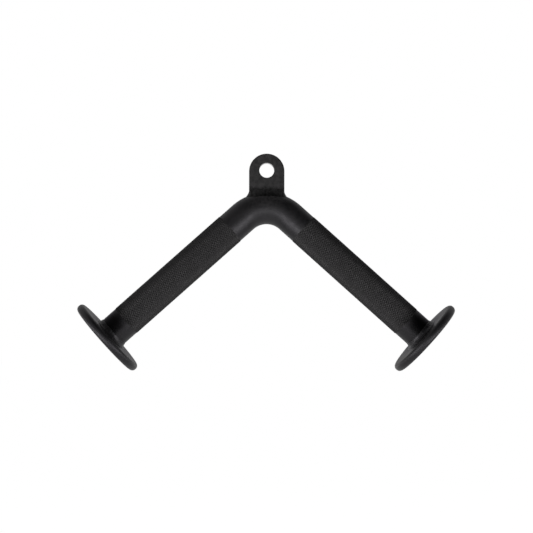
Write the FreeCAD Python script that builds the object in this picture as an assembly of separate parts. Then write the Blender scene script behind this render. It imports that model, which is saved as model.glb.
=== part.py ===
import FreeCAD, Part
import math
import os

# A pull-down handle for two hands: one steel tube bent to a wide V and knurled on both arms, an eye
# plate welded on top of the bend, and a round disc welded on each end of the tube.
# Millimetres. +Z is up, +X is across the handle, and -Y is the front. The origin is the centre of the
# eye's hole, whose axis is Y.

# Tube
tube_diameter = 32.0
tube_wall = 3.0
bend_radius = 35.3
arm_drop_degrees = 41.8

# Straight stretch of each arm, from the bend outwards: plain neck, knurled grip, plain tail
neck_length = 17.4
grip_length = 140.0
tail_length = 20.5

# Knurled metal stands proud of the plain tube and slopes back to it at both ends
knurl_rise = 0.45
knurl_runout = 0.9

# End discs
disc_diameter = 85.0
disc_thickness = 8.5
disc_edge_radius = 3.8

# Fillet weld round the tube at each disc: its leg along the tube, its leg on the disc, and how far
# its face is hollowed out
disc_weld_leg = 4.8
disc_weld_spread = 4.2
disc_weld_hollow = 0.6

# Eye plate: the height of the hole's centre over the bend, and how far under it the centre of the
# plate's round top lies
eye_rise = 22.2
eye_width = 35.6
eye_top_drop = 0.9
eye_thickness = 8.0
eye_bore = 15.0
eye_edge_radius = 0.8
bore_edge_radius = 0.5

# Weld round the foot of the eye plate: its leg up the plate, its spread over the tube in front and
# behind, its reach past the plate's narrow edges, and how far its face is crowned
eye_weld_leg = 4.0
eye_weld_spread = 6.0
eye_weld_reach = 2.8
eye_weld_crown = 0.6

# How far a cutting or joining shape runs past the face that it has to cross
overrun = 1.0

# The largest part of a plate's thickness that one rounded edge may take
edge_limit_share = 0.45

# Worked out from the sizes above
tube_radius = tube_diameter / 2
bore_radius = tube_radius - tube_wall
straight_length = neck_length + grip_length + tail_length
crown_radius = bend_radius + tube_radius
bend_centre = FreeCAD.Vector(0, 0, -eye_rise - crown_radius)
across = FreeCAD.Vector(0, 1, 0)


def polar(angle_degrees, distance):
    """A point in the plane of the V, at an angle from straight up about the centre of the bend."""
    angle = math.radians(angle_degrees)
    return bend_centre + FreeCAD.Vector(math.sin(angle), 0, math.cos(angle)) * distance


def arm_start(side):
    """Where the straight arm leaves the bend, on the tube's centre line."""
    return polar(side * arm_drop_degrees, bend_radius)


def arm_direction(side):
    """Unit vector outwards along an arm."""
    drop = math.radians(arm_drop_degrees)
    return FreeCAD.Vector(side * math.cos(drop), 0, -math.sin(drop))


def arm_point(side, along, out):
    """A point in the plane of the V: a distance along an arm, and a distance out on its upper side."""
    upward = polar(side * arm_drop_degrees, 1) - bend_centre
    return arm_start(side) + arm_direction(side) * along + upward * out


def outline(corners, place):
    """A closed face through corners in order. A corner is a pair of sizes, and a triple of pairs is an
    arc (start, middle, end). place turns a pair into a point."""
    arcs = [corner if isinstance(corner[0], tuple) else (corner,) for corner in corners]
    edges = []
    last = place(*arcs[-1][-1])
    for arc in arcs:
        points = [place(*pair) for pair in arc]
        if last.distanceToPoint(points[0]) > 0:
            edges.append(Part.makeLine(last, points[0]))
        if len(points) == 3:
            edges.append(Part.Arc(*points).toShape())
        last = points[-1]
    return Part.Face(Part.Wire(edges))


def turned(side, profile):
    """Turns a profile about an arm's centre line. Its pairs are (along the arm, radius)."""
    face = outline(profile, lambda along, out: arm_point(side, along, out))
    return face.revolve(arm_start(side), arm_direction(side), 360)


def bend(radius):
    """The curved stretch of a round rod that follows the tube's centre line."""
    circle = Part.makeCircle(radius, arm_start(-1), arm_direction(-1))
    return Part.Face(Part.Wire(circle)).revolve(bend_centre, across, 2 * arm_drop_degrees)


def arm_outside(side):
    """One straight arm as a solid rod, with its raised knurled band."""
    grip_end = neck_length + grip_length
    proud = tube_radius + knurl_rise
    return turned(side, [
        (0, 0),
        (0, tube_radius),
        (neck_length, tube_radius),
        (neck_length + knurl_runout, proud),
        (grip_end - knurl_runout, proud),
        (grip_end, tube_radius),
        (straight_length, tube_radius),
        (straight_length, 0),
    ])


def arm_inside(side):
    """The space inside one straight arm, run out past the tube's end."""
    length = straight_length + overrun
    return Part.makeCylinder(bore_radius, length, arm_start(side), arm_direction(side))


def make_tube_outside():
    """The bent and knurled tube as if it were a solid bar, which is what the eye plate stands on."""
    return bend(tube_radius).fuse([arm_outside(-1), arm_outside(1)]).removeSplitter()


def make_tube(tube_outside):
    """The bent and knurled tube with its bore."""
    inside = bend(bore_radius).fuse([arm_inside(-1), arm_inside(1)]).removeSplitter()
    return tube_outside.cut(inside)


def make_disc(side):
    """A round plate that closes one end of the tube."""
    radius = disc_diameter / 2
    edge = min(disc_edge_radius, disc_thickness * edge_limit_share)
    disc = Part.makeCylinder(radius, disc_thickness, arm_point(side, straight_length, 0), arm_direction(side))
    rims = [rim for rim in disc.Edges if isinstance(rim.Curve, Part.Circle)]
    return disc.makeFillet(edge, rims)


def make_disc_weld(side):
    """The fillet of weld metal between the tube's end and its disc."""
    toe_on_tube = (straight_length - disc_weld_leg, tube_radius)
    toe_on_disc = (straight_length, tube_radius + disc_weld_spread)
    middle = bowed(toe_on_tube, toe_on_disc, disc_weld_hollow)
    return turned(side, [(straight_length, tube_radius), (toe_on_tube, middle, toe_on_disc)])


def bowed(start, end, depth):
    """The middle of an arc between two points, pushed out to the right of the line between them."""
    run = (end[0] - start[0], end[1] - start[1])
    length = math.hypot(run[0], run[1])
    middle = ((start[0] + end[0]) / 2, (start[1] + end[1]) / 2)
    return (middle[0] + run[1] / length * depth, middle[1] - run[0] / length * depth)


def make_eye_plate(tube_outside):
    """The upright plate with a round top and one hole, its foot shaped to the tube that it stands on."""
    half = eye_width / 2
    front = -eye_thickness / 2
    foot = -eye_rise - tube_radius
    edge = min(eye_edge_radius, eye_thickness * edge_limit_share)
    bore_edge = min(bore_edge_radius, eye_thickness * edge_limit_share)
    face = outline([
        ((-half, -eye_top_drop), (0, half - eye_top_drop), (half, -eye_top_drop)),
        (half, foot),
        (-half, foot),
    ], lambda x, z: FreeCAD.Vector(x, front, z))
    plate = face.extrude(across * eye_thickness)
    bore_length = eye_thickness + 2 * overrun
    bore_start = FreeCAD.Vector(0, front - overrun, 0)
    plate = plate.cut(Part.makeCylinder(eye_bore / 2, bore_length, bore_start, across))
    plate = plate.makeFillet(bore_edge, [line for line in plate.Edges if is_bore_rim(line)])
    sides = [line for line in plate.Edges if line.BoundBox.YLength < edge and reaches_out(line)]
    plate = plate.makeFillet(edge, sides)
    return plate.cut(tube_outside)


def is_bore_rim(line):
    """Whether an edge of the eye plate is one of the two circles where the hole meets a flat face."""
    return isinstance(line.Curve, Part.Circle) and line.Curve.Radius < (eye_bore + eye_width) / 4


def reaches_out(line):
    """Whether an edge belongs to the plate's outline above its foot."""
    box = line.BoundBox
    return max(-box.XMin, box.XMax) > (eye_bore + eye_width) / 4 and box.ZMax > -eye_rise


def eye_weld_points():
    """Where the weld meets the tube in front of the plate, and the plate's face above it."""
    plate_side = eye_thickness / 2
    toe_y = plate_side + eye_weld_spread
    toe = (toe_y, bend_radius + math.sqrt(tube_radius ** 2 - toe_y ** 2))
    top = (plate_side, crown_radius + eye_weld_leg)
    return toe, top


def beyond(start, end):
    """A point a little past the end of a line, inside the metal that the line runs into."""
    run = (end[0] - start[0], end[1] - start[1])
    length = math.hypot(run[0], run[1])
    return (end[0] + run[0] / length * overrun, end[1] + run[1] / length * overrun)


def eye_weld_section(half_only):
    """The weld across the plate, as pairs (y, distance from the bend's centre). Its face runs on a
    little into the tube and into the plate, which both cut it back later."""
    toe, top = eye_weld_points()
    face = (top, bowed(toe, top, eye_weld_crown), toe)
    inside_plate = beyond(toe, top)
    inside_tube = beyond(top, toe)
    base = (inside_tube[0], bend_radius)
    if half_only:
        return [(0, base[1]), (0, inside_plate[1]), inside_plate, face, inside_tube, base]
    half = [inside_plate, face, inside_tube, base]
    return [mirrored(corner) for corner in reversed(half)] + half


def mirrored(corner):
    """A pair, or a triple of pairs run backwards, with its y turned round."""
    if isinstance(corner[0], tuple):
        return tuple((-y, distance) for y, distance in reversed(corner))
    return (-corner[0], corner[1])


def eye_weld_wrap_angle():
    """The angle from the top of the bend to the axis of the half-round end of the weld."""
    toe, top = eye_weld_points()
    climb = (top[1] - crown_radius) / (top[1] - toe[1])
    end_radius = top[0] + (toe[0] - top[0]) * climb
    return math.degrees(math.asin((eye_width / 2 + eye_weld_reach - end_radius) / crown_radius))


def section_face(section, angle_degrees):
    """A face in the plane that holds Y and the direction at an angle about the bend's centre."""
    return outline(section, lambda y, distance: polar(angle_degrees, distance) + across * y)


def make_front_eye_weld(tube_outside, plate):
    """The pass of weld along the front of the plate and half round its narrow edges."""
    wrap_angle = eye_weld_wrap_angle()
    bead = section_face(eye_weld_section(False), -wrap_angle).revolve(bend_centre, across, 2 * wrap_angle)
    caps = []
    for side in (-1, 1):
        axis = polar(side * wrap_angle, 1) - bend_centre
        half_section = section_face(eye_weld_section(True), side * wrap_angle)
        caps.append(half_section.revolve(bend_centre, axis, -side * 180))
    reach = crown_radius
    front_half = Part.makeBox(2 * reach, reach, 2 * reach, FreeCAD.Vector(-reach, -reach, bend_centre.z))
    return bead.fuse(caps).common(front_half).cut([plate, tube_outside]).removeSplitter()


def write(name, shape):
    """Saves one node and says how large it is."""
    node = shape.Solids[0] if len(shape.Solids) == 1 else Part.makeCompound(shape.Solids)
    print(name, "solids", len(node.Solids), "valid", node.isValid(), "volume", round(node.Volume, 1))
    node.exportStep("parts/" + name + ".step")


os.makedirs("parts", exist_ok=True)
bar = make_tube_outside()
eye_plate = make_eye_plate(bar)
write("bent_tube", make_tube(bar))
write("lug_plate", eye_plate)
front_weld = make_front_eye_weld(bar, eye_plate)
write("lug_weld_front", front_weld)
write("lug_weld_rear", front_weld.mirror(FreeCAD.Vector(0, 0, 0), across))
for side, word in ((-1, "left"), (1, "right")):
    write("end_disc_" + word, make_disc(side))
    write("disc_weld_" + word, make_disc_weld(side))
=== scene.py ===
import math

import bmesh
import bpy
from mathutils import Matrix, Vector, noise


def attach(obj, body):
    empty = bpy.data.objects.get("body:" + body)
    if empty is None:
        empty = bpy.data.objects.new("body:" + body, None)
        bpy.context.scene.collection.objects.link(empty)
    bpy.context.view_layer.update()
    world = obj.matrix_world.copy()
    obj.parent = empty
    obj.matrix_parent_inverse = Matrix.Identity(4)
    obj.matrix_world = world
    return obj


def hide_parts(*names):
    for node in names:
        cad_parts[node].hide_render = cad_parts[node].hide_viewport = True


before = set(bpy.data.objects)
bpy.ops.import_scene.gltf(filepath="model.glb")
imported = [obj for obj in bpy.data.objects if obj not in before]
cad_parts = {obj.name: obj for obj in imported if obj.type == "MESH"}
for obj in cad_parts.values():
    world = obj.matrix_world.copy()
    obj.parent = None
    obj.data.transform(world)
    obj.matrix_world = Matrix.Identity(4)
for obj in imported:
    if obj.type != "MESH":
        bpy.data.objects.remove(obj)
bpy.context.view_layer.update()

# A pull-down handle: a knurled tube bent to a wide V, an eye plate welded on the bend, a disc welded
# on each end. Metres, in the CAD model's frame: +Z up, +X across the handle, -Y the front.

# Tube, as in the CAD model
TUBE_RADIUS = 0.016
TUBE_WALL = 0.003
BEND_RADIUS = 0.0353
ARM_DROP = math.radians(41.8)
NECK_LENGTH = 0.0174
GRIP_LENGTH = 0.140
TAIL_LENGTH = 0.0205

# How finely the tube's mesh is divided
TUBE_SIDES = 200
PLAIN_STEP = 0.0021
BEND_STEPS = 36

# Knurl: diamonds round the tube, their length, their height over the plain tube and their depth
# under it, how long they take to come up at each end of a grip, and the rows of points to a diamond
KNURL_AROUND = 50
KNURL_PITCH = 0.0035
KNURL_RISE = 0.00040
KNURL_SINK = 0.00002
KNURL_RUNOUT = 0.0009
STEPS_PER_DIAMOND = 4

# Painted shade on the tube beside the disc, darkening it as if the disc kept light off: up to which distance
# from the disc it is at its darkest and how far it reaches, and the same round the tube, as cosines of the
# angle from the arm's upper side
PAINTED_SHADE_FULL = 0.014
PAINTED_SHADE_REACH = 0.030
PAINTED_SHADE_SIDE_FULL = -0.1
PAINTED_SHADE_SIDE_REACH = -0.6

# Discs, and how finely their rims are rounded
DISC_RADIUS = 0.04249
DISC_THICKNESS = 0.0085
DISC_EDGE = 0.0038
DISC_SIDES = 192
DISC_EDGE_STEPS = 8

# Rings of points on a disc's flat faces: one close to the rounded rim, at a share of the rounding
# from it, and two farther in, at shares of the flat's radius. On the weld's side the painted shade is
# at its darkest within the inner ring, and a share of it is left at the outer one.
DISC_SUPPORT_SHARE = 0.12
DISC_INNER_RING_SHARE = 0.5
DISC_OUTER_RING_SHARE = 0.72
DISC_OUTER_PAINTED_SHADE_SHARE = 0.35

# Weld behind each disc: its leg along the tube and its spread over the disc, how far its face is
# hollowed out and the shares of that towards the disc and the tube, how proud its toe on the tube is,
# how deep it lies in the disc, and at what share of the wall its root lies in the tube
DISC_WELD_LEG = 0.0048
DISC_WELD_SPREAD = 0.0036
DISC_WELD_HOLLOW = 0.0009
DISC_WELD_HOLLOW_ALONG_SHARE = 0.66
DISC_WELD_HOLLOW_INWARD_SHARE = 0.75
DISC_WELD_TOE = 0.00025
DISC_WELD_SINK = 0.0004
DISC_WELD_ROOT_SHARE = 0.2
DISC_WELD_STEPS = 10
DISC_WELD_SIDES = 220

# Its unevenness. Layers of lumps are (height, lumps to the tube's radius, seed). Its toe on the tube
# wanders by the whole of the first layers, and its toe on the disc by a share of them.
DISC_WELD_WANDER = ((0.0006, 2.6, 0), (0.0003, 7.0, 0))
DISC_WELD_WANDER_ON_DISC_SHARE = 0.7
DISC_WELD_SWELL = ((0.00012, 5.0, 0),)
DISC_WELD_RIPPLE = 0.0026
DISC_WELD_RIPPLE_HEIGHT = 0.00008
DISC_WELD_SEEDS = {"left": 3.1, "right": 7.7}

# Eye plate: the height of the hole's centre over the bend, and how far under it the centre of the
# round top lies
EYE_RISE = 0.0222
EYE_WIDTH = 0.03558
EYE_TOP_DROP = 0.0009
EYE_THICKNESS = 0.008
EYE_BORE = 0.015
EYE_EDGE = 0.0008
BORE_EDGE = 0.0005
EYE_FOOT_SINK = 0.0006

# How finely its outline and its edges are drawn, where the rings of points on its faces lie between
# hole and outline, and how much of the hole's rounded rim is finished like the hole's wall
EYE_ROUND_STEPS = 64
EYE_SIDE_STEPS = 12
EYE_FOOT_STEPS = 24
EYE_EDGE_STEPS = 5
EYE_FACE_RING_SHARES = (0.05, 0.35, 0.65, 0.96)
BORE_WALL_SHARE = 0.5

# Weld round the foot of the eye plate: its top over the bend at the middle and on the plate's narrow
# edges, how far the top sinks towards the corners, its spread over the tube at the middle and at the
# corners, its reach past the narrow edges, how full its face is, and the radius of its turns
EYE_WELD_TOP = 0.0036
EYE_WELD_END_TOP = 0.0006
EYE_WELD_END_DROP = 0.0022
EYE_WELD_SPREAD = 0.0072
EYE_WELD_CORNER_SPREAD = 0.0042
EYE_WELD_REACH = 0.0027
EYE_WELD_CROWN = 0.0003
EYE_WELD_CORNER = 0.0016

# The share of the plate's width from its middle at which the sinking starts, the powers that hollow
# out the weld's face and blend its sides into its ends, and the share of its fullness that goes out
# and up
EYE_WELD_DROP_START_SHARE = 0.2
EYE_WELD_OUT_POWER = 1.5
EYE_WELD_RISE_POWER = 1.7
EYE_WELD_END_POWER = 1.5
EYE_WELD_SWELL_SHARE = 0.6

# Its hidden root: how deep it lies in the tube and how far under the weld's top, as shares of the
# tube's wall, and how far inside the plate, as a share of the turns' radius
EYE_WELD_ROOT_SHARE = 0.3
EYE_WELD_COVER_SHARE = 0.1
EYE_WELD_INSET_SHARE = 0.6
EYE_WELD_STEPS = 12
EYE_WELD_SIDES = 300

# Its unevenness. Layers of lumps are (height, lumps to the metre, seed). For the swelling, the face
# counts as this long from toe to toe.
EYE_WELD_WANDER = ((0.0006, 170, 2.3), (0.0004, 420, 5.9))
EYE_WELD_TOP_WANDER = ((0.0011, 230, 9.4), (0.0008, 560, 3.8))
EYE_WELD_SWELL = ((0.0006, 330, 4.2),)
EYE_WELD_FACE_LENGTH = 0.004
EYE_WELD_RIPPLE = 0.0031
EYE_WELD_RIPPLE_HEIGHT = 0.0004
EYE_WELD_RIPPLE_SEED = 1.7

# Ripples aren't quite evenly spaced: how often that changes, as a share of once in a ripple, and by
# how large a share of a ripple they shift. A seed shifts a pattern of lumps in one direction.
RIPPLE_DRIFT_SHARE = 0.31
RIPPLE_SHIFT_SHARE = 0.9
SEED_DIRECTION = Vector((1.0, 0.7, 0.0))

# Worked out from the sizes above
HALF_BEND = BEND_RADIUS * ARM_DROP
STRAIGHT_LENGTH = NECK_LENGTH + GRIP_LENGTH + TAIL_LENGTH
GRIP_END = NECK_LENGTH + GRIP_LENGTH
CROWN_RADIUS = BEND_RADIUS + TUBE_RADIUS
BEND_CENTRE = Vector((0, 0, -EYE_RISE - CROWN_RADIUS))
ACROSS = Vector((0, 1, 0))


def station(along):
    """The tube's centre line at a distance along it from the top of the bend: the point, and the
    outward direction of the bend."""
    angle = max(-ARM_DROP, min(ARM_DROP, along / BEND_RADIUS))
    upward = Vector((math.sin(angle), 0, math.cos(angle)))
    onward = Vector((math.cos(angle), 0, -math.sin(angle)))
    return BEND_CENTRE + upward * BEND_RADIUS + onward * (along - angle * BEND_RADIUS), upward


def skin_point(along, turn, radius):
    """A point round the tube, turn being an angle from the outer side of the bend towards the back."""
    centre, upward = station(along)
    return centre + (upward * math.cos(turn) + ACROSS * math.sin(turn)) * radius


def arm_place(side, along, turn, radius):
    """The same, with the distance measured along one arm from the end of the bend."""
    return skin_point(side * (HALF_BEND + along), turn, radius)


def turns(count):
    """Angles of a full circle in even steps."""
    return [2 * math.pi * step / count for step in range(count)]


def spread(start, end, steps):
    """Even steps from start to end, both included."""
    return [start + (end - start) * step / steps for step in range(steps + 1)]


def progress(value, start, end):
    """How far a value has come from start to end, from 0 to 1."""
    return max(0.0, min(1.0, (value - start) / (end - start)))


def mesh_piece(name, points, faces):
    """A closed shell as an object at the origin, smooth and facing outwards."""
    mesh = bpy.data.meshes.new(name)
    mesh.from_pydata([tuple(point) for point in points], [], faces)
    shell = bmesh.new()
    shell.from_mesh(mesh)
    bmesh.ops.recalc_face_normals(shell, faces=shell.faces)
    shell.to_mesh(mesh)
    shell.free()
    mesh.polygons.foreach_set("use_smooth", [True] * len(mesh.polygons))
    piece = bpy.data.objects.new(name, mesh)
    bpy.context.scene.collection.objects.link(piece)
    return piece


def ring_faces(rings, sides, joined):
    """Quads between rings of points laid one after the other. joined closes the last to the first."""
    faces = []
    for ring in range(rings if joined else rings - 1):
        here = ring * sides
        there = (ring + 1) % rings * sides
        for side in range(sides):
            following = (side + 1) % sides
            faces.append((here + side, here + following, there + following, there + side))
    return faces


def store_on_points(piece, title, values):
    """Keeps one number for each point of a piece's mesh."""
    attribute = piece.data.attributes.new(title, "FLOAT", "POINT")
    attribute.data.foreach_set("value", values)


def finish_piece(piece, *nodes):
    """Hands a finished piece to the frame in place of the CAD nodes that it stands for."""
    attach(piece, "root")
    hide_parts(*nodes)


# Node helpers


def new_material(name):
    """A material with its node tree and its Principled shader."""
    material = bpy.data.materials.new(name)
    material.use_nodes = True
    tree = material.node_tree
    return material, tree, tree.nodes["Principled BSDF"]


def add_node(tree, kind, values=None, **settings):
    """A node with its settings and its unlinked input values, given by input name or number."""
    node = tree.nodes.new(kind)
    for key, value in settings.items():
        setattr(node, key, value)
    for key, value in (values or {}).items():
        node.inputs[key].default_value = value
    return node


def math_node(tree, operation, first, second, clamp=False):
    """A Math node. Each operand is a number or another node's output."""
    node = tree.nodes.new("ShaderNodeMath")
    node.operation = operation
    node.use_clamp = clamp
    for place, operand in enumerate((first, second)):
        if isinstance(operand, (int, float)):
            node.inputs[place].default_value = operand
        else:
            tree.links.new(operand, node.inputs[place])
    return node.outputs[0]


def ramp(tree, value, low, high, to_low, to_high):
    """Value mapped from low..high to to_low..to_high, held at both ends."""
    node = add_node(tree, "ShaderNodeMapRange", {1: low, 2: high, 3: to_low, 4: to_high})
    tree.links.new(value, node.inputs[0])
    return node.outputs[0]


def object_point(tree):
    """The piece's own coordinates, in metres."""
    return add_node(tree, "ShaderNodeTexCoord").outputs["Object"]


def one_axis(tree, point, axis):
    """One coordinate of a point: its X, Y or Z."""
    parts = add_node(tree, "ShaderNodeSeparateXYZ")
    tree.links.new(point, parts.inputs[0])
    return parts.outputs[axis]


def object_noise(tree, point, scale, detail, roughness=0.5):
    """Noise over the piece's own coordinates. scale is in cells to the metre, as a number or as
    another node's output."""
    node = add_node(tree, "ShaderNodeTexNoise", {"Detail": detail, "Roughness": roughness})
    if isinstance(scale, (int, float)):
        node.inputs["Scale"].default_value = scale
    else:
        tree.links.new(scale, node.inputs["Scale"])
    tree.links.new(point, node.inputs["Vector"])
    return node.outputs[0]


def point_value(tree, title):
    """A number that is stored on the piece's points."""
    return add_node(tree, "ShaderNodeAttribute", attribute_name=title).outputs["Fac"]


def group_tree(name, kind, inputs, outputs):
    """A node group with named sockets; each is (name, socket type, default or None)."""
    tree = bpy.data.node_groups.new(name, kind)
    for direction, sockets in (("INPUT", inputs), ("OUTPUT", outputs)):
        for title, socket_type, default in sockets:
            socket = tree.interface.new_socket(title, in_out=direction, socket_type=socket_type)
            if default is not None:
                socket.default_value = default
    entry = tree.nodes.new("NodeGroupInput")
    leaving = tree.nodes.new("NodeGroupOutput")
    return tree, entry, leaving


# Finishes

# Colours are linear. The tints colour and weaken the gloss of each kind of surface.
COAT = (0.0021, 0.0020, 0.0022)
DUSTY = (0.0095, 0.0092, 0.0094)
CHALK = (0.0165, 0.0158, 0.0162)
TUBE_TINT = (0.97, 0.94, 1.0)
KNURL_TINT = (0.88, 0.85, 0.87)
DISC_TINT = (0.88, 0.85, 0.91)
PLATE_TINT = (1.0, 0.98, 0.99)

# Painted shade in corners: what it leaves of the coat's colour, and how metallic it makes the coat there,
# which dims its gloss too
PAINTED_SHADE_COLOUR_SHARE = 0.35
PAINTED_SHADE_METAL = 0.82

# Slow and fine mottling of the coat: their shares, and the values of the noise that count as its
# darkest and its lightest
SLOW_MOTTLE_SHARE = 0.7
FINE_MOTTLE_SHARE = 0.3
MOTTLE_DARKEST = 0.3
MOTTLE_LIGHTEST = 0.7

# Painted shade: dark patches on the plate just over its weld, in the corner where shade falls. The
# heights over the weld's top, with the ragged part added, at which they are full and have run out, the height
# of the ragged part, and how deep they are
PLATE_PAINTED_SHADE_FULL = 0.0020
PLATE_PAINTED_SHADE_REACH = 0.0062
PLATE_PAINTED_SHADE_RAGGED = 0.007
PLATE_PAINTED_SHADE_DEPTH = 0.8

# Painted shade down the weld, darker towards its corner with the tube: its depth is 0 at the toe on
# the plate and 1 at the toe on the tube. A ragged part is added, and these are the sums at which the shade
# starts and is full.
WELD_PAINTED_SHADE_RAGGED = 1.2
WELD_PAINTED_SHADE_FROM = 1.0
WELD_PAINTED_SHADE_FULL = 1.8

# Chalky patches: the values of the noise at which they start and are full
CHALK_FROM = 0.40
CHALK_FULL = 0.60

# Chalky specks in front of the weld, on top of the bend: where they centre, how far they are full,
# how far they reach, and what is left between them
BEND_VEIL_FORWARD = 0.012
BEND_VEIL_DROP = 0.004
BEND_VEIL_FULL = 0.008
BEND_VEIL_REACH = 0.026
BEND_VEIL_BETWEEN_SHARE = 0.2


def make_coat_group():
    """Powder coat: a fine orange-peel skin with slow mottling. Puts out a colour, a roughness and a
    height in metres."""
    tree, entry, leaving = group_tree("Powder coat skin", "ShaderNodeTree", [
        ("Coat Color", "NodeSocketColor", (*COAT, 1)),
        ("Mottle", "NodeSocketFloat", 0.2),
        ("Mottle Scale", "NodeSocketFloat", 110.0),
        ("Base Roughness", "NodeSocketFloat", 0.45),
        ("Roughness Swing", "NodeSocketFloat", 0.08),
        ("Peel Height", "NodeSocketFloat", 0.00001),
        ("Peel Scale", "NodeSocketFloat", 900.0),
    ], [
        ("Color", "NodeSocketColor", None),
        ("Roughness", "NodeSocketFloat", None),
        ("Height", "NodeSocketFloat", None),
    ])
    given = entry.outputs
    point = object_point(tree)
    slow = object_noise(tree, point, scale=given["Mottle Scale"], detail=3)
    fine = object_noise(tree, point, scale=1500, detail=2)
    peel = object_noise(tree, point, scale=given["Peel Scale"], detail=3)
    slow = math_node(tree, "MULTIPLY", slow, SLOW_MOTTLE_SHARE)
    fine = math_node(tree, "MULTIPLY", fine, FINE_MOTTLE_SHARE)
    mixed = math_node(tree, "ADD", slow, fine)
    swing = ramp(tree, mixed, MOTTLE_DARKEST, MOTTLE_LIGHTEST, -1, 1)
    shade = math_node(tree, "ADD", math_node(tree, "MULTIPLY", swing, given["Mottle"]), 1)
    tint = add_node(tree, "ShaderNodeVectorMath", operation="SCALE")
    tree.links.new(given["Coat Color"], tint.inputs[0])
    tree.links.new(shade, tint.inputs["Scale"])
    rough = math_node(tree, "MULTIPLY", swing, given["Roughness Swing"])
    rough = math_node(tree, "ADD", rough, given["Base Roughness"], clamp=True)
    tree.links.new(tint.outputs[0], leaving.inputs["Color"])
    tree.links.new(rough, leaving.inputs["Roughness"])
    tree.links.new(math_node(tree, "MULTIPLY", peel, given["Peel Height"]), leaving.inputs["Height"])
    return tree


coat_group = make_coat_group()


def coat_material(
        name, color, tint, mottle, mottle_scale, roughness, swing, peel, peel_scale, painted_shade=None, veil=None):
    """Black powder coat as one kind of surface shows it. The shade function, if given, puts out how
    deep in a corner the surface lies, from 0 to 1, and shade is painted there: the colour is darkened
    and the coat made more metallic, which dims its gloss. veil(tree) puts out where the coat is chalky, from
    0 to 1."""
    material, tree, shader = new_material(name)
    shader.inputs["Specular Tint"].default_value = (*tint, 1)
    coat = tree.nodes.new("ShaderNodeGroup")
    coat.node_tree = coat_group
    for title, value in (
        ("Coat Color", (*color, 1)),
        ("Mottle", mottle),
        ("Mottle Scale", mottle_scale),
        ("Base Roughness", roughness),
        ("Roughness Swing", swing),
        ("Peel Height", peel),
        ("Peel Scale", peel_scale),
    ):
        coat.inputs[title].default_value = value
    shade = coat.outputs["Color"]
    if veil:
        chalked = add_node(tree, "ShaderNodeMix", {"B": (*CHALK, 1)}, data_type="RGBA")
        tree.links.new(veil(tree), chalked.inputs["Factor"])
        tree.links.new(shade, chalked.inputs["A"])
        shade = chalked.outputs["Result"]
    # Painted shade: darker colour and dimmer gloss deep in corners
    if painted_shade:
        depth = painted_shade(tree)
        painted_darker = add_node(tree, "ShaderNodeVectorMath", operation="SCALE")
        tree.links.new(shade, painted_darker.inputs[0])
        tree.links.new(ramp(tree, depth, 0, 1, 1, PAINTED_SHADE_COLOUR_SHARE), painted_darker.inputs["Scale"])
        tree.links.new(ramp(tree, depth, 0, 1, 0, PAINTED_SHADE_METAL), shader.inputs["Metallic"])
        shade = painted_darker.outputs[0]
    bump = add_node(tree, "ShaderNodeBump", {"Strength": 1.0, "Distance": 1.0})
    tree.links.new(shade, shader.inputs["Base Color"])
    tree.links.new(coat.outputs["Roughness"], shader.inputs["Roughness"])
    tree.links.new(coat.outputs["Height"], bump.inputs["Height"])
    tree.links.new(bump.outputs["Normal"], shader.inputs["Normal"])
    return material


def stored_painted_shade(tree):
    """Painted shade: how deep in the corner between tube and disc the surface lies, as stored on its points.
    """
    return point_value(tree, "painted_shade")


def plate_painted_shade(tree):
    """Painted shade: ragged dark patches on the eye plate just over its weld."""
    point = object_point(tree)
    patches = object_noise(tree, point, scale=330, detail=3)
    ragged = math_node(tree, "MULTIPLY", patches, PLATE_PAINTED_SHADE_RAGGED)
    height = math_node(tree, "ADD", one_axis(tree, point, "Z"), ragged)
    foot = -EYE_RISE + EYE_WELD_TOP
    full = foot + PLATE_PAINTED_SHADE_FULL
    return ramp(tree, height, full, foot + PLATE_PAINTED_SHADE_REACH, PLATE_PAINTED_SHADE_DEPTH, 0)


def weld_painted_shade(tree):
    """Painted shade: the weld gets darker from its toe on the plate down to its toe on the tube, unevenly."""
    patches = object_noise(tree, object_point(tree), scale=380, detail=3)
    ragged = math_node(tree, "MULTIPLY", patches, WELD_PAINTED_SHADE_RAGGED)
    depth = math_node(tree, "ADD", point_value(tree, "depth"), ragged)
    return ramp(tree, depth, WELD_PAINTED_SHADE_FROM, WELD_PAINTED_SHADE_FULL, 0, 1)


def plate_veil(tree):
    """Chalky patches all over the plate, as scale under the coat leaves them."""
    patches = object_noise(tree, object_point(tree), scale=230, detail=4, roughness=0.6)
    return ramp(tree, patches, CHALK_FROM, CHALK_FULL, 0, 1)


def bend_veil(tree):
    """Chalky specks on top of the bend, where heat and spatter of the weld have roughened it."""
    point = object_point(tree)
    middle = (0, -BEND_VEIL_FORWARD, -EYE_RISE - BEND_VEIL_DROP)
    away = add_node(tree, "ShaderNodeVectorMath", {1: middle}, operation="DISTANCE")
    tree.links.new(point, away.inputs[0])
    near = ramp(tree, away.outputs["Value"], BEND_VEIL_FULL, BEND_VEIL_REACH, 1, 0)
    patches = object_noise(tree, point, scale=420, detail=4, roughness=0.65)
    specks = ramp(tree, patches, CHALK_FROM, CHALK_FULL, BEND_VEIL_BETWEEN_SHARE, 1)
    return math_node(tree, "MULTIPLY", near, specks)


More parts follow.
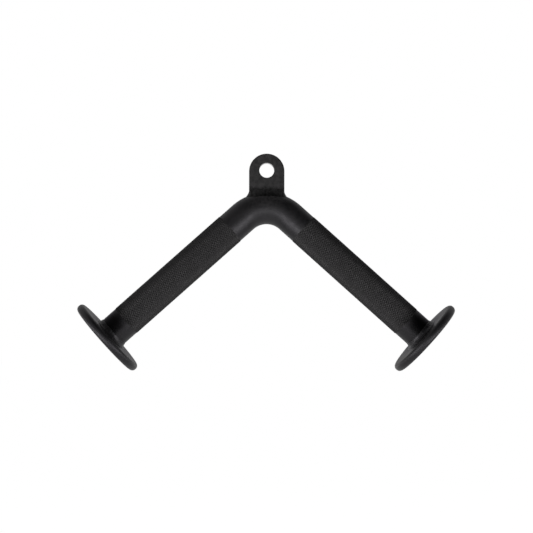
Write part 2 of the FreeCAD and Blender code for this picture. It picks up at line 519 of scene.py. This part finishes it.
plain_coat = coat_material(
    "Powder coat on drawn tube", COAT, TUBE_TINT, mottle=0.3, mottle_scale=300, roughness=0.42,
    swing=0.10, peel=0.000006, peel_scale=900, painted_shade=stored_painted_shade, veil=bend_veil)
knurl_coat = coat_material(
    "Powder coat on knurl", COAT, KNURL_TINT, mottle=0.20, mottle_scale=110, roughness=0.46,
    swing=0.08, peel=0.000004, peel_scale=1400, painted_shade=stored_painted_shade)
plate_coat = coat_material(
    "Powder coat on cut plate", COAT, PLATE_TINT, mottle=0.3, mottle_scale=280, roughness=0.46,
    swing=0.14, peel=0.000012, peel_scale=700, painted_shade=plate_painted_shade, veil=plate_veil)
bore_coat = coat_material(
    "Powder coat in the bore", COAT, PLATE_TINT, mottle=0.10, mottle_scale=110, roughness=0.15,
    swing=0.02, peel=0.000002, peel_scale=700)
disc_coat = coat_material(
    "Powder coat on flange disc", COAT, DISC_TINT, mottle=0.15, mottle_scale=110, roughness=0.45,
    swing=0.05, peel=0.000003, peel_scale=800, painted_shade=stored_painted_shade)
weld_coat = coat_material(
    "Powder coat on lumpy weld", DUSTY, PLATE_TINT, mottle=0.6, mottle_scale=300, roughness=0.48,
    swing=0.10, peel=0.000020, peel_scale=1100, painted_shade=weld_painted_shade)
seam_coat = coat_material(
    "Powder coat on smooth weld", COAT, TUBE_TINT, mottle=0.2, mottle_scale=150, roughness=0.45,
    swing=0.06, peel=0.000005, peel_scale=900)


# Knurled tube


def tube_stations():
    """Distances along the tube at which it has a ring of points, left end to right end."""
    plain_neck = spread(0, NECK_LENGTH, round(NECK_LENGTH / PLAIN_STEP))
    rows = round(GRIP_LENGTH / KNURL_PITCH) * STEPS_PER_DIAMOND
    knurled = spread(NECK_LENGTH, GRIP_END, rows)
    plain_tail = spread(GRIP_END, STRAIGHT_LENGTH, round(TAIL_LENGTH / PLAIN_STEP))
    arm = [HALF_BEND + along for along in plain_neck[1:] + knurled[1:] + plain_tail[1:]]
    bend = spread(-HALF_BEND, HALF_BEND, BEND_STEPS)
    return [-along for along in reversed(arm)] + bend + arm


def painted_shade_near_disc(along, turn):
    """Painted shade near the disc: from 0 in the open to 1 close to the disc, and less on the arm's lower
    side.
    """
    near_disc = progress(STRAIGHT_LENGTH - along, PAINTED_SHADE_REACH, PAINTED_SHADE_FULL)
    return near_disc * progress(math.cos(turn), PAINTED_SHADE_SIDE_REACH, PAINTED_SHADE_SIDE_FULL)


def make_bare_tube():
    """The smooth tube with its bore, and with each point's place round and along its arm. The
    distance along the arm is 0 inside the bore, so that the knurl stays off it."""
    outside = tube_stations()
    inside = [outside[-1]] + spread(HALF_BEND, -HALF_BEND, BEND_STEPS // 2) + [outside[0]]
    points = []
    around = []
    along_arm = []
    outward = []
    painted_shade = []
    for run, radius, has_knurl in ((outside, TUBE_RADIUS, True), (inside, TUBE_RADIUS - TUBE_WALL, False)):
        for along in run:
            centre, _ = station(along)
            past_bend = abs(along) - HALF_BEND
            for turn in turns(TUBE_SIDES):
                point = skin_point(along, turn, radius)
                points.append(point)
                around.append(turn / (2 * math.pi))
                along_arm.append(max(0.0, past_bend) if has_knurl else 0.0)
                outward.extend((point - centre).normalized())
                # Painted shade near the disc, kept on each point
                painted_shade.append(painted_shade_near_disc(past_bend, turn))
    piece = mesh_piece("tube", points, ring_faces(len(outside) + len(inside), TUBE_SIDES, True))
    store_on_points(piece, "around", around)
    store_on_points(piece, "along_arm", along_arm)
    store_on_points(piece, "painted_shade", painted_shade)
    direction = piece.data.attributes.new("outward", "FLOAT_VECTOR", "POINT")
    direction.data.foreach_set("vector", outward)
    return piece


def named(tree, title, kind):
    """Reads an attribute of the mesh in a Geometry Nodes tree."""
    node = add_node(tree, "GeometryNodeInputNamedAttribute", {"Name": title}, data_type=kind)
    return node.outputs[0]


def make_knurl_tree():
    """Raises crossed helical grooves into diamonds between two distances along the arm."""
    tree, entry, leaving = group_tree("Rolled knurl", "GeometryNodeTree", [
        ("Geometry", "NodeSocketGeometry", None),
        ("Diamonds Around", "NodeSocketFloat", float(KNURL_AROUND)),
        ("Diamond Length", "NodeSocketFloat", KNURL_PITCH),
        ("Rise", "NodeSocketFloat", KNURL_RISE),
        ("Sink", "NodeSocketFloat", KNURL_SINK),
        ("Start", "NodeSocketFloat", NECK_LENGTH),
        ("End", "NodeSocketFloat", GRIP_END),
        ("Run-out", "NodeSocketFloat", KNURL_RUNOUT),
        ("Material", "NodeSocketMaterial", None),
    ], [("Geometry", "NodeSocketGeometry", None)])
    given = entry.outputs
    along = named(tree, "along_arm", "FLOAT")
    count_around = math_node(tree, "MULTIPLY", named(tree, "around", "FLOAT"), given["Diamonds Around"])
    beyond_start = math_node(tree, "SUBTRACT", along, given["Start"])
    count_along = math_node(tree, "DIVIDE", beyond_start, given["Diamond Length"])
    ridges = []
    for operation in ("ADD", "SUBTRACT"):
        phase = math_node(tree, operation, count_around, count_along)
        valley = math_node(tree, "PINGPONG", phase, 0.5)
        ridges.append(math_node(tree, "SUBTRACT", 1, math_node(tree, "MULTIPLY", valley, 2)))
    lower = math_node(tree, "MINIMUM", ridges[0], ridges[1])
    depth = math_node(tree, "ADD", given["Rise"], given["Sink"])
    height = math_node(tree, "SUBTRACT", math_node(tree, "MULTIPLY", lower, depth), given["Sink"])
    from_start = math_node(tree, "DIVIDE", beyond_start, given["Run-out"], clamp=True)
    before_end = math_node(tree, "SUBTRACT", given["End"], along)
    from_end = math_node(tree, "DIVIDE", before_end, given["Run-out"], clamp=True)
    lift = math_node(tree, "MULTIPLY", height, math_node(tree, "MULTIPLY", from_start, from_end))
    push = add_node(tree, "ShaderNodeVectorMath", operation="SCALE")
    tree.links.new(named(tree, "outward", "FLOAT_VECTOR"), push.inputs[0])
    tree.links.new(lift, push.inputs["Scale"])
    move = tree.nodes.new("GeometryNodeSetPosition")
    tree.links.new(given["Geometry"], move.inputs["Geometry"])
    tree.links.new(push.outputs[0], move.inputs["Offset"])
    split = add_node(tree, "GeometryNodeTriangulate", quad_method="SHORTEST_DIAGONAL")
    tree.links.new(move.outputs[0], split.inputs[0])
    real = tree.nodes.new("GeometryNodeRealizeInstances")
    tree.links.new(split.outputs[0], real.inputs[0])
    paint = tree.nodes.new("GeometryNodeSetMaterial")
    tree.links.new(real.outputs[0], paint.inputs["Geometry"])
    tree.links.new(given["Material"], paint.inputs["Material"])
    tree.links.new(paint.outputs[0], leaving.inputs["Geometry"])
    return tree


def bake_tree(piece, tree, values):
    """Runs a Geometry Nodes tree on a piece and keeps the result as its plain mesh."""
    modifier = piece.modifiers.new(tree.name, "NODES")
    modifier.node_group = tree
    for item in tree.interface.items_tree:
        if item.in_out == "INPUT" and item.name in values:
            modifier[item.identifier] = values[item.name]
    depsgraph = bpy.context.evaluated_depsgraph_get()
    result = bpy.data.meshes.new_from_object(piece.evaluated_get(depsgraph), depsgraph=depsgraph)
    piece.modifiers.remove(modifier)
    piece.data = result


def make_tube():
    """The whole bent tube with its two knurled grips."""
    piece = make_bare_tube()
    bake_tree(piece, make_knurl_tree(), {
        "Diamonds Around": float(KNURL_AROUND),
        "Diamond Length": KNURL_PITCH,
        "Rise": KNURL_RISE,
        "Sink": KNURL_SINK,
        "Start": NECK_LENGTH,
        "End": GRIP_END,
        "Run-out": KNURL_RUNOUT,
        "Material": knurl_coat,
    })
    piece.data.materials.append(plain_coat)
    for face in piece.data.polygons:
        centre = face.center - BEND_CENTRE
        along = abs(centre.x) * math.cos(ARM_DROP) - centre.z * math.sin(ARM_DROP)
        grip = NECK_LENGTH < along < GRIP_END
        face.material_index = 0 if grip else 1
        face.use_smooth = not grip
    finish_piece(piece, "bent_tube")


# Discs and their welds


def turned_piece(name, side, profile, sides, shape=None):
    """Turns a closed or pole-to-pole profile of (along the arm, radius) about an arm. shape may move
    each point by (turn, along, radius) -> (along, radius)."""
    open_profile = profile[0][1] == 0
    body = profile[1:-1] if open_profile else profile
    points = []
    for along, radius in body:
        for turn in turns(sides):
            here = shape(turn, along, radius) if shape else (along, radius)
            points.append(arm_place(side, here[0], turn, here[1]))
    faces = ring_faces(len(body), sides, not open_profile)
    if open_profile:
        for along, ring in ((profile[0][0], 0), (profile[-1][0], len(body) - 1)):
            points.append(arm_place(side, along, 0, 0))
            pole = len(points) - 1
            start = ring * sides
            faces.extend((start + step, start + (step + 1) % sides, pole) for step in range(sides))
    return mesh_piece(name, points, faces)


def quarter_round(centre, radius, start, end, steps):
    """Points of an arc as (along, radius) pairs, with angles in degrees from the arm's direction."""
    angles = [math.radians(angle) for angle in spread(start, end, steps)]
    return [(centre[0] + radius * math.cos(angle), centre[1] + radius * math.sin(angle)) for angle in angles]


def make_disc(side, word):
    """A flange disc with rounded rims, and painted shade on its face behind the weld."""
    near = STRAIGHT_LENGTH
    far = STRAIGHT_LENGTH + DISC_THICKNESS
    flat = DISC_RADIUS - DISC_EDGE
    support = flat - DISC_EDGE * DISC_SUPPORT_SHARE
    inner = flat * DISC_INNER_RING_SHARE
    outer = flat * DISC_OUTER_RING_SHARE
    profile = [(near, 0), (near, inner), (near, outer), (near, support)]
    profile += quarter_round((near + DISC_EDGE, flat), DISC_EDGE, 180, 90, DISC_EDGE_STEPS)
    profile += quarter_round((far - DISC_EDGE, flat), DISC_EDGE, 90, 0, DISC_EDGE_STEPS)
    profile += [(far, support), (far, inner), (far, 0)]
    piece = turned_piece("disc_" + word, side, profile, DISC_SIDES)
    # Painted shade on the face behind the weld: full within the inner ring, a share of it at the outer ring,
    # none beyond
    ring_painted_shade = [1.0, DISC_OUTER_PAINTED_SHADE_SHARE] + [0.0] * (len(profile) - 4)
    pole_painted_shade = [1.0, 0.0]
    painted_shade = [depth for depth in ring_painted_shade for _ in range(DISC_SIDES)] + pole_painted_shade
    store_on_points(piece, "painted_shade", painted_shade)
    piece.data.materials.append(disc_coat)
    finish_piece(piece, "end_disc_" + word)


def belly(share):
    """From 0 at both toes of a weld's face to 1 in its middle."""
    return math.sin(math.pi * progress(share, 0, 1))


def ripple(distance, spacing, height, seed):
    """Rounded steps that weld metal freezes in, half over and half under the smooth face."""
    count = distance / spacing
    shift = noise.noise(Vector((count * RIPPLE_DRIFT_SHARE, seed, 0))) * RIPPLE_SHIFT_SHARE
    phase = (count + shift) % 1.0
    return height * (0.5 - (2 * phase - 1) ** 2)


def unevenness(place, layers, seed=0.0):
    """The swelling and shrinking of a bead: the sum of layers of smooth noise, each given by its
    height, its lumps to the unit of length, and a seed that is added to the given one."""
    total = 0.0
    for height, scale, own_seed in layers:
        total += height * noise.noise(place * scale + SEED_DIRECTION * (own_seed + seed))
    return total


def make_disc_weld(side, word):
    """The fillet bead round the tube at a disc, with ripples and a toe that wanders a little."""
    root = TUBE_RADIUS - TUBE_WALL * DISC_WELD_ROOT_SHARE
    profile = []
    for share in spread(0, 1, DISC_WELD_STEPS):
        hollow = DISC_WELD_HOLLOW * belly(share)
        along = STRAIGHT_LENGTH - DISC_WELD_LEG * (1 - share) + hollow * DISC_WELD_HOLLOW_ALONG_SHARE
        rise = DISC_WELD_TOE + (DISC_WELD_SPREAD - DISC_WELD_TOE) * share
        profile.append((along, TUBE_RADIUS + rise - hollow * DISC_WELD_HOLLOW_INWARD_SHARE))
    profile.append((STRAIGHT_LENGTH + DISC_WELD_SINK, TUBE_RADIUS + DISC_WELD_SPREAD))
    profile.append((STRAIGHT_LENGTH + DISC_WELD_SINK, root))
    profile.append((STRAIGHT_LENGTH - DISC_WELD_LEG, root))
    seed = DISC_WELD_SEEDS[word]

    def shape(turn, along, radius):
        if radius < TUBE_RADIUS or along > STRAIGHT_LENGTH:
            return along, radius
        share = 1 - (STRAIGHT_LENGTH - along) / DISC_WELD_LEG
        circle = Vector((math.cos(turn), math.sin(turn), 0))
        wander = unevenness(circle, DISC_WELD_WANDER, seed)
        wander_on_disc = wander * DISC_WELD_WANDER_ON_DISC_SHARE
        beat = ripple(turn * TUBE_RADIUS, DISC_WELD_RIPPLE, DISC_WELD_RIPPLE_HEIGHT, seed)
        swell = beat + unevenness(circle + Vector((0, 0, share)), DISC_WELD_SWELL, seed)
        swell *= belly(share)
        return along - wander * (1 - share) - swell, radius + wander_on_disc * share + swell

    piece = turned_piece("disc_weld_" + word, side, profile, DISC_WELD_SIDES, shape)
    piece.data.materials.append(seam_coat)
    finish_piece(piece, "disc_weld_" + word)


# Eye plate and its weld


def crest(x, y):
    """Height of the tube's upper surface over a point in plan near the top of the bend."""
    ring = BEND_RADIUS + math.sqrt(max(0.0, TUBE_RADIUS ** 2 - y ** 2))
    return BEND_CENTRE.z + math.sqrt(max(0.0, ring ** 2 - x ** 2))


def eye_outline(inset):
    """The plate's outline seen from the front, drawn in by an inset, from the right side round the
    top to the left and back along the foot."""
    half = EYE_WIDTH / 2 - inset
    top = spread(0, math.pi, EYE_ROUND_STEPS)
    points = [(half * math.cos(turn), half * math.sin(turn) - EYE_TOP_DROP) for turn in top]
    foot = crest(EYE_WIDTH / 2, 0) - EYE_FOOT_SINK
    heights = spread(-EYE_TOP_DROP, foot, EYE_SIDE_STEPS)[1:]
    across_foot = spread(-half, half, EYE_FOOT_STEPS)[1:-1]
    points += [(-half, height) for height in heights]
    points += [(x, crest(x, EYE_THICKNESS / 2) - EYE_FOOT_SINK) for x in across_foot]
    points += [(half, height) for height in reversed(heights)]
    return points


def make_eye_plate():
    """The eye plate: rings of points from the hole's wall over the front face to the outline, and
    back over the rear face."""
    outer = eye_outline(0)
    bore = EYE_BORE / 2
    half = EYE_THICKNESS / 2
    bearings = [math.atan2(z, x) for x, z in outer]

    def bore_ring(radius, y):
        return [Vector((radius * math.cos(turn), y, radius * math.sin(turn))) for turn in bearings]

    def outer_ring(inset, y):
        return [Vector((x, y, z)) for x, z in eye_outline(inset)]

    def face_ring(share, y):
        pairs = zip(bore_ring(bore + BORE_EDGE, y), outer_ring(EYE_EDGE, y))
        return [inner.lerp(outside, share) for inner, outside in pairs]

    rounds = spread(0, math.pi / 2, EYE_EDGE_STEPS)
    front_half = [bore_ring(bore, 0)]
    front_half += [
        bore_ring(bore + BORE_EDGE * (1 - math.cos(turn)), -half + BORE_EDGE * (1 - math.sin(turn)))
        for turn in rounds
    ]
    front_half += [face_ring(share, -half) for share in EYE_FACE_RING_SHARES]
    front_half += [
        outer_ring(EYE_EDGE * (1 - math.sin(turn)), -half + EYE_EDGE * (1 - math.cos(turn)))
        for turn in rounds
    ]
    rear_half = [[Vector((p.x, -p.y, p.z)) for p in ring] for ring in reversed(front_half[1:])]
    rings = front_half + rear_half
    points = [point for ring in rings for point in ring]
    piece = mesh_piece("eye_plate", points, ring_faces(len(rings), len(outer), True))
    piece.data.materials.append(plate_coat)
    piece.data.materials.append(bore_coat)
    for face in piece.data.polygons:
        if math.hypot(face.center.x, face.center.z) < bore + BORE_EDGE * BORE_WALL_SHARE:
            face.material_index = 1
    finish_piece(piece, "lug_plate")


def plate_walk(steps):
    """Even steps round the plate's foot in plan, from its left front corner along the front: point,
    outward direction, distance walked."""
    half_width = EYE_WIDTH / 2 - EYE_WELD_CORNER
    half_depth = EYE_THICKNESS / 2 - EYE_WELD_CORNER
    signs = ((-1, -1), (1, -1), (1, 1), (-1, 1))
    centres = [Vector((x * half_width, y * half_depth)) for x, y in signs]
    quarter = math.pi / 2 * EYE_WELD_CORNER
    total = 4 * (half_width + half_depth + quarter)
    places = []
    for step in range(steps):
        walked = total * step / steps
        left = walked
        for side, start in enumerate(centres):
            end = centres[(side + 1) % len(centres)]
            straight = (end - start).length
            if left <= straight + quarter:
                break
            left -= straight + quarter
        turn = (side - 1) * math.pi / 2 + max(0.0, left - straight) / EYE_WELD_CORNER
        outward = Vector((math.cos(turn), math.sin(turn)))
        centre = start.lerp(end, min(1.0, left / straight))
        places.append((centre + outward * EYE_WELD_CORNER, outward, walked))
    return places


def eye_weld_ring(point, outward, walked):
    """The weld's section at one place round the plate's foot: its face from the toe on the plate to
    the toe on the tube, and then its root."""
    end_share = abs(outward.x) ** EYE_WELD_END_POWER
    side_share = 1 - end_share
    corner_share = (2 * point.x / EYE_WIDTH) ** 2
    place = Vector((point.x, point.y, 0))
    side_spread = EYE_WELD_SPREAD + (EYE_WELD_CORNER_SPREAD - EYE_WELD_SPREAD) * corner_share
    reach = side_spread * side_share + EYE_WELD_REACH * end_share + unevenness(place, EYE_WELD_WANDER)
    sunk = EYE_WELD_END_DROP * progress(abs(point.x) / EYE_WIDTH, EYE_WELD_DROP_START_SHARE, 0.5)
    top = -EYE_RISE + (EYE_WELD_TOP - sunk) * side_share + EYE_WELD_END_TOP * end_share
    top += unevenness(place, EYE_WELD_TOP_WANDER)
    leg = top - crest(point.x, point.y)
    beat = ripple(walked, EYE_WELD_RIPPLE, EYE_WELD_RIPPLE_HEIGHT, EYE_WELD_RIPPLE_SEED)
    ring = []
    for share in spread(0, 1, EYE_WELD_STEPS):
        on_face = place + Vector((0, 0, share * EYE_WELD_FACE_LENGTH))
        swell = EYE_WELD_CROWN + beat + unevenness(on_face, EYE_WELD_SWELL)
        swell *= belly(share) * EYE_WELD_SWELL_SHARE
        out = reach * share ** EYE_WELD_OUT_POWER + swell
        x = point.x + outward.x * out
        y = point.y + outward.y * out
        rise = leg * (1 - share) ** EYE_WELD_RISE_POWER + swell
        ring.append(Vector((x, y, crest(x, y) + rise)))
    root = TUBE_WALL * EYE_WELD_ROOT_SHARE
    inside = point - outward * EYE_WELD_CORNER * EYE_WELD_INSET_SHARE
    ring.append(ring[-1] - Vector((0, 0, root)))
    ring.append(Vector((inside.x, inside.y, crest(inside.x, inside.y) - root)))
    ring.append(Vector((inside.x, inside.y, ring[0].z - TUBE_WALL * EYE_WELD_COVER_SHARE)))
    return ring


def make_eye_weld():
    """The bead round the plate's foot: lumpy, rippled, wider on the tube than on the plate."""
    rings = [eye_weld_ring(*place) for place in plate_walk(EYE_WELD_SIDES)]
    points = [point for ring in rings for point in ring]
    piece = mesh_piece("eye_weld", points, ring_faces(len(rings), len(rings[0]), True))
    face_depths = spread(0, 1, EYE_WELD_STEPS)
    root_depths = [1.0] * (len(rings[0]) - len(face_depths))
    store_on_points(piece, "depth", (face_depths + root_depths) * EYE_WELD_SIDES)
    piece.data.materials.append(weld_coat)
    finish_piece(piece, "lug_weld_front", "lug_weld_rear")


make_tube()
make_eye_plate()
make_eye_weld()
for side, word in ((-1, "left"), (1, "right")):
    make_disc(side, word)
    make_disc_weld(side, word)


# Studio

# The photograph's viewpoint
PHOTO_PIXELS = 533
FOCAL_PIXELS = 1400
SENSOR_WIDTH = 36.0
AIM = Vector((0.0, 0, -0.0969))
CAMERA_DISTANCE = 1.4092
CAMERA_TILT = math.radians(-3.0)
CAMERA_TURN = math.radians(-1.0)
CAMERA_ROLL = math.radians(0.14)

# Floor. It lies low, so that the handle is seen from below too. In reflections it glows less near
# the handle than far behind it.
FLOOR_HEIGHT = -1.25
FLOOR_SIZE = 120.0
FLOOR_COLOUR = (0.8, 0.8, 0.8, 1)
FLOOR_ROUGHNESS = 0.9
FLOOR_GLOW = 0.8
FLOOR_MIRRORED_GLOW = 0.28
FLOOR_GLOW_NEAR = 0.5
FLOOR_GLOW_FAR = 7.5

# World: its strength as a light, and its levels in reflections: dark close to the direction of the
# dark side, whiter towards the white side, and pale elsewhere. The limits are dot products.
WORLD_LIGHT = 0.25
DARK_SIDE = (0.22, -0.48, 0.85)
PALE_LEVEL = 0.45
PALE_UP_TO = 0.45
DARK_FROM = 0.97
WHITE_LEVEL = 0.65
WHITE_SIDE = (0.0, 0.8, -0.6)
WHITE_FROM = 0.3
WHITE_UP_TO = 0.95


def make_camera():
    """The photograph's viewpoint, a little below the handle and looking up."""
    data = bpy.data.cameras.new("camera")
    data.lens = SENSOR_WIDTH * FOCAL_PIXELS / PHOTO_PIXELS
    data.sensor_width = SENSOR_WIDTH
    camera = bpy.data.objects.new("camera", data)
    bpy.context.scene.collection.objects.link(camera)
    level = math.cos(CAMERA_TILT)
    back = Vector((math.sin(CAMERA_TURN) * level, -math.cos(CAMERA_TURN) * level, math.sin(CAMERA_TILT)))
    camera.matrix_world = (-back).to_track_quat("-Z", "Y").to_matrix().to_4x4()
    camera.location = AIM + back * CAMERA_DISTANCE
    camera.rotation_euler.rotate_axis("Z", CAMERA_ROLL)
    bpy.context.scene.camera = camera


def make_floor():
    """A wide pale floor that reads white and still takes the handle's shadow."""
    material, tree, shader = new_material("Pale studio floor")
    shader.inputs["Base Color"].default_value = FLOOR_COLOUR
    shader.inputs["Roughness"].default_value = FLOOR_ROUGHNESS
    shader.inputs["Specular IOR Level"].default_value = 0.0
    shader.inputs["Emission Color"].default_value = (1, 1, 1, 1)
    rays = tree.nodes.new("ShaderNodeLightPath").outputs
    direct = math_node(tree, "MAXIMUM", rays["Is Camera Ray"], rays["Is Transmission Ray"])
    direct = math_node(tree, "MULTIPLY", direct, FLOOR_GLOW)
    behind = one_axis(tree, object_point(tree), "Y")
    glow = ramp(tree, behind, FLOOR_GLOW_NEAR, FLOOR_GLOW_FAR, FLOOR_MIRRORED_GLOW, FLOOR_GLOW)
    mirrored = math_node(tree, "MULTIPLY", rays["Is Glossy Ray"], glow)
    tree.links.new(math_node(tree, "ADD", direct, mirrored), shader.inputs["Emission Strength"])
    half = FLOOR_SIZE / 2
    mesh = bpy.data.meshes.new("floor")
    corners = [(-half, -half), (half, -half), (half, half), (-half, half)]
    mesh.from_pydata([(x, y, FLOOR_HEIGHT) for x, y in corners], [], [(0, 1, 2, 3)])
    floor = bpy.data.objects.new("floor", mesh)
    bpy.context.scene.collection.objects.link(floor)
    floor.data.materials.append(material)


def towards(tree, direction, side):
    """The dot product of a direction with a given one."""
    node = add_node(tree, "ShaderNodeVectorMath", {1: side}, operation="DOT_PRODUCT")
    tree.links.new(direction, node.inputs[0])
    return node.outputs["Value"]


def make_world():
    """A white room to look at. In reflections it is palest behind and below the handle and dark over
    the camera, and as a source of light it is dimmer."""
    world = bpy.data.worlds.new("studio")
    bpy.context.scene.world = world
    world.use_nodes = True
    tree = world.node_tree
    background = tree.nodes["Background"]
    background.inputs["Color"].default_value = (1, 1, 1, 1)
    rays = tree.nodes.new("ShaderNodeLightPath").outputs
    direction = add_node(tree, "ShaderNodeTexCoord").outputs["Generated"]
    pale = ramp(tree, towards(tree, direction, DARK_SIDE), PALE_UP_TO, DARK_FROM, PALE_LEVEL, 0.0)
    extra = WHITE_LEVEL - PALE_LEVEL
    white = ramp(tree, towards(tree, direction, WHITE_SIDE), WHITE_FROM, WHITE_UP_TO, 0.0, extra)
    mirrored = math_node(tree, "MULTIPLY", math_node(tree, "ADD", pale, white), rays["Is Glossy Ray"])
    direct = math_node(tree, "MAXIMUM", rays["Is Camera Ray"], rays["Is Transmission Ray"])
    seen = math_node(tree, "MAXIMUM", mirrored, direct)
    others = math_node(tree, "SUBTRACT", 1, math_node(tree, "MAXIMUM", direct, rays["Is Glossy Ray"]))
    light = math_node(tree, "MULTIPLY", others, WORLD_LIGHT)
    tree.links.new(math_node(tree, "ADD", seen, light), background.inputs["Strength"])


def make_lamp(name, place, aim, width, depth, power, in_reflections=True):
    """A rectangular soft box."""
    data = bpy.data.lights.new(name, "AREA")
    data.shape = "RECTANGLE"
    data.size = width
    data.size_y = depth
    data.energy = power
    lamp = bpy.data.objects.new(name, data)
    lamp.matrix_world = (Vector(aim) - Vector(place)).to_track_quat("-Z", "Y").to_matrix().to_4x4()
    lamp.location = place
    lamp.visible_camera = False
    lamp.visible_glossy = in_reflections
    bpy.context.scene.collection.objects.link(lamp)


make_camera()
make_floor()
make_world()
make_lamp(
    "top_box", place=(0.0, -0.5, 1.4), aim=(0, 0, -0.1), width=1.2, depth=1.2, power=8.0,
    in_reflections=False)
make_lamp("left_box", place=(-1.13, -0.26, -0.36), aim=(-0.03, -0.01, -0.01), width=1.1, depth=0.4, power=2.9)
make_lamp("right_box", place=(1.16, -0.26, -0.46), aim=(0.06, -0.01, 0.04), width=1.1, depth=0.2, power=1.45)
make_lamp("low_left_box", place=(-0.575, -0.77, -0.45), aim=(0, 0, -0.10), width=0.9, depth=0.42, power=3.95)
make_lamp("low_right_box", place=(0.575, -0.77, -0.45), aim=(0, 0, -0.10), width=0.9, depth=0.42, power=3.55)
bpy.context.scene.view_settings.view_transform = "Standard"
